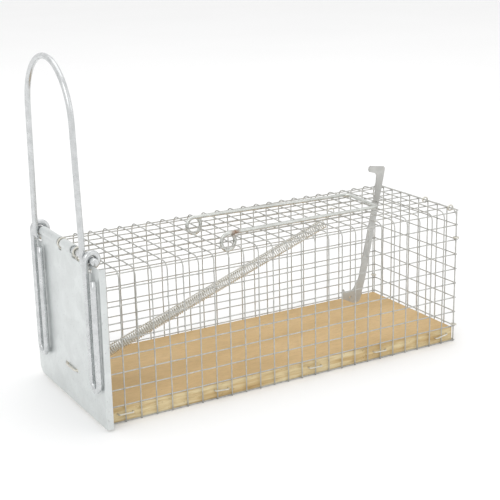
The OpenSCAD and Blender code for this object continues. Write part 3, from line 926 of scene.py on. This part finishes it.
# ---------------------------------------------------------------- the trigger and the bait hook

def make_trigger():
    b = Build()
    r, eye_r = trigger_r, 6.5
    px = joints["trigger_lift"]["pos_m"][0] / MM
    leg_z = roof_z + wire_r + 0.1 + r
    corners = (np.array([px + 151.3, -18.6, leg_z]), np.array([px + 155.5, 29.9, leg_z]))

    def eye_turns(y, corner):
        run = math.hypot(corner[0] - px, corner[1] - y)
        heading = math.atan2(corner[1] - y, corner[0] - px)
        rise = leg_z - roof_z
        turn = math.degrees(math.atan2(rise, run)) + math.degrees(math.acos(eye_r / math.hypot(run, rise)))
        out = []
        for a in np.radians(np.linspace(turn, turn + 318, 34)):
            drift = 1.3 * max(0.0, (math.degrees(a) - turn - 200) / 118)
            flat_run = eye_r * math.cos(a)
            out.append(np.array([px + flat_run * math.cos(heading) + drift * math.sin(heading),
                                 y + flat_run * math.sin(heading) + drift * 1.2,
                                 roof_z + eye_r * math.sin(a)]))
        return out

    near, far = eye_turns(near_eye, corners[0]), eye_turns(far_eye, corners[1])
    body = rounded([near[0], corners[0], corners[1], far[0]], 5.0)
    body = subdivide(body, 14)
    b.tube(np.concatenate([np.array(near[::-1]), body[1:-1], np.array(far)]), r, 16)
    obj = b.make("trigger_wire", [trigger_zinc])
    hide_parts("trigger_bail")
    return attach(obj, "trigger")


def make_hook():
    pos = np.array(joints["bait_hook_swing"]["pos_m"]) / MM
    top, drop = 32.1, 87.6
    # Round from the beak, down the front edge to the barbed toe, and back up.
    outline = [(-7.4, top), (9, top - 2.4), (8.4, top - 6.8), (3.2, 0.5),
               (-10.6, -drop + 22), (-16.4, -drop + 1.6), (-21.8, -drop), (-34.4, -drop + 6.4),
               (-33.3, -drop + 15.6), (-31.2, -drop + 10.8), (-23.4, -drop + 12.8),
               (-17.6, -drop + 22), (-3, 0.5), (-1.3, 5.6), (0.4, top - 7.6), (-8.4, top - 4.8)]
    bm = bmesh.new()
    ring = [bm.verts.new(Vector((x + pos[0], hook_lo[1], z + pos[2])) * MM) for x, z in outline]
    face = bm.faces.new(ring)
    grown = bmesh.ops.extrude_face_region(bm, geom=[face])
    for v in grown["geom"]:
        if isinstance(v, bmesh.types.BMVert):
            v.co.y = hook_hi[1] * MM
    bmesh.ops.recalc_face_normals(bm, faces=bm.faces)
    uprights = [e for e in bm.edges if abs(e.verts[0].co.y - e.verts[1].co.y) > 0.0005]
    bmesh.ops.bevel(bm, geom=uprights, offset=0.9 * MM, segments=4, affect="EDGES")
    rims = [e for e in bm.edges if len(e.link_faces) == 2 and e.calc_face_angle(0) > 1.2]
    bmesh.ops.bevel(bm, geom=rims, offset=0.12 * MM, segments=2, affect="EDGES")
    bmesh.ops.triangulate(bm, faces=[f for f in bm.faces if len(f.verts) > 4])
    mesh = bpy.data.meshes.new("bait_hook_plate")
    bm.to_mesh(mesh)
    bm.free()
    mesh.materials.append(hook_zinc)
    obj = bpy.data.objects.new("bait_hook_plate", mesh)
    bpy.context.scene.collection.objects.link(obj)
    for x, z, r in ((0, 0, 0.65), (-26.2, -drop + 6.4, 1.2)):
        cut = Build()
        cut.tube([(pos[0] + x, hook_lo[1] - 2, pos[2] + z), (pos[0] + x, hook_hi[1] + 2, pos[2] + z)], r, 20)
        tool = cut.make("hole_tool", [])
        mod = obj.modifiers.new("hole", "BOOLEAN")
        mod.object, mod.operation, mod.solver = tool, "DIFFERENCE", "EXACT"
        bpy.context.view_layer.update()
        done = bpy.data.meshes.new_from_object(obj.evaluated_get(bpy.context.evaluated_depsgraph_get()))
        obj.modifiers.clear()
        obj.data = done
        bpy.data.objects.remove(tool)
    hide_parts("bait_hook")
    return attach(obj, "hook")


make_trigger()
make_hook()


# ---------------------------------------------------------------- floor, light and camera

def make_stage():
    m, nt, bsdf = shader("floor_pale")
    where = place(nt)
    colour = ramp(nt, noise(nt, where, 3, 2, 0.5), [(0.2, grey(0.93)), (0.8, grey(0.95))])
    nt.links.new(colour, bsdf.inputs["Base Color"])
    bsdf.inputs["Roughness"].default_value = 0.7
    n, reach, drop = 24, 4, 0.0001
    row = n + 1
    c = np.linspace(-reach, reach, row)
    verts = [(x, y, -drop) for y in c for x in c]
    starts = [j * row + i for j in range(n) for i in range(n)]
    faces = [(k, k + 1, k + row + 1, k + row) for k in starts]
    floor = new_object("floor", verts, faces, [m])


def lamp(name, where, towards, size, power):
    data = bpy.data.lights.new(name, "AREA")
    data.shape, data.size, data.energy = "DISK", size, power
    obj = bpy.data.objects.new(name, data)
    bpy.context.scene.collection.objects.link(obj)
    obj.location = where
    obj.rotation_euler = (Vector(towards) - Vector(where)).to_track_quat("-Z", "Y").to_euler()


make_stage()
lamp("key", (-1.4, -1.2, 1.9), (0, 0, 0.08), 1.6, 9)
lamp("fill", (1.6, -1.5, 1.2), (0, 0, 0.08), 1.8, 3)
lamp("top", (0.2, 0.6, 2.2), (0, 0, 0.05), 2.2, 9)

world = bpy.data.worlds.new("studio")
bpy.context.scene.world = world
world.use_nodes = True
world.node_tree.nodes["Background"].inputs["Color"].default_value = (1.0, 1.0, 1.0, 1)
world.node_tree.nodes["Background"].inputs["Strength"].default_value = 0.95

azimuth, elevation, roll = (math.radians(a) for a in (-29.83, 16.40, -1.154))
back = Vector((math.sin(azimuth) * math.cos(elevation), -math.cos(azimuth) * math.cos(elevation),
               math.sin(elevation)))
right = Vector((math.cos(azimuth), math.sin(azimuth), 0))
up = back.cross(right)
image_right = right * math.cos(roll) + up * math.sin(roll)
image_up = -right * math.sin(roll) + up * math.cos(roll)
camera_data = bpy.data.cameras.new("photo_view")
camera_data.lens, camera_data.sensor_width, camera_data.sensor_fit = 84.65, 36.0, "HORIZONTAL"
camera_data.clip_start, camera_data.clip_end = 0.05, 20
camera = bpy.data.objects.new("photo_view", camera_data)
bpy.context.scene.collection.objects.link(camera)
turn = Matrix((image_right, image_up, back)).transposed().to_4x4()
camera.matrix_world = Matrix.Translation((-0.45805, -0.789, 0.3613)) @ turn
bpy.context.scene.camera = camera
bpy.context.scene.view_settings.view_transform = "Standard"

bpy.context.view_layer.update()
